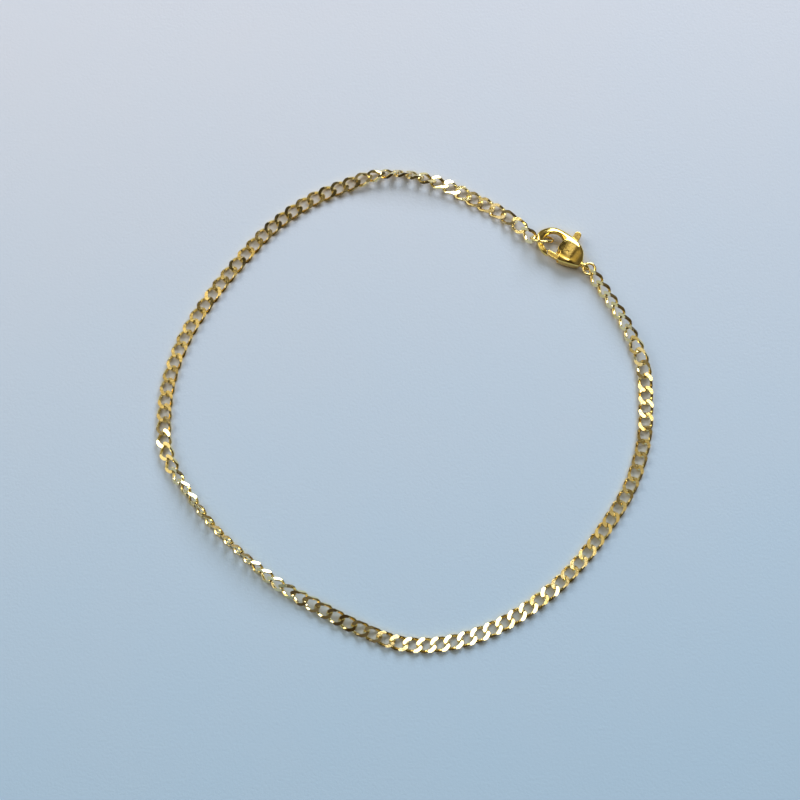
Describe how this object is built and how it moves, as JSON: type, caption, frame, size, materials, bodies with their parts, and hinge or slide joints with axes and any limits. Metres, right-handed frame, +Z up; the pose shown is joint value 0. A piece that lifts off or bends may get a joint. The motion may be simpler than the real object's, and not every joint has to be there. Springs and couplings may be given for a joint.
{
  "type": "curb chain bracelet",
  "caption": "Fine flat curb chain fastened in a loop by a lobster clasp, whose hook holds a plain end ring and whose eye holds a small jump ring.",
  "frame": {"origin": "on the resting surface, under the middle of the bracelet's bounding box", "axes": "+Z up, square to the surface that the loop lies on; the clasp is in the +X +Y quarter, with the nose of its hook pointing 144.7 degrees anticlockwise from +X"},
  "size_m": [0.0636, 0.0632, 0.0027],
  "materials": {
    "chain_gold": "polished gilt, with bright filed faces",
    "clasp_gold": "polished gilt casting"
  },
  "bodies": {
    "bracelet": {"chain_first_half": "chain_gold", "chain_second_half": "chain_gold", "end_ring": "chain_gold", "jump_ring": "chain_gold", "clasp_body": "clasp_gold", "rivet_pin": "clasp_gold"},
    "lever": {"clasp_lever": "clasp_gold"}
  },
  "joints": [
    {"name": "clasp_lever_open", "type": "hinge", "parent": "bracelet", "child": "lever", "pos_m": [0.0212, 0.0199, 0.00099], "axis": [0, 0, -1], "range_deg": [0, 20], "stiffness_Nm_per_rad": 0.001, "springref_deg": -11.46}
  ]
}
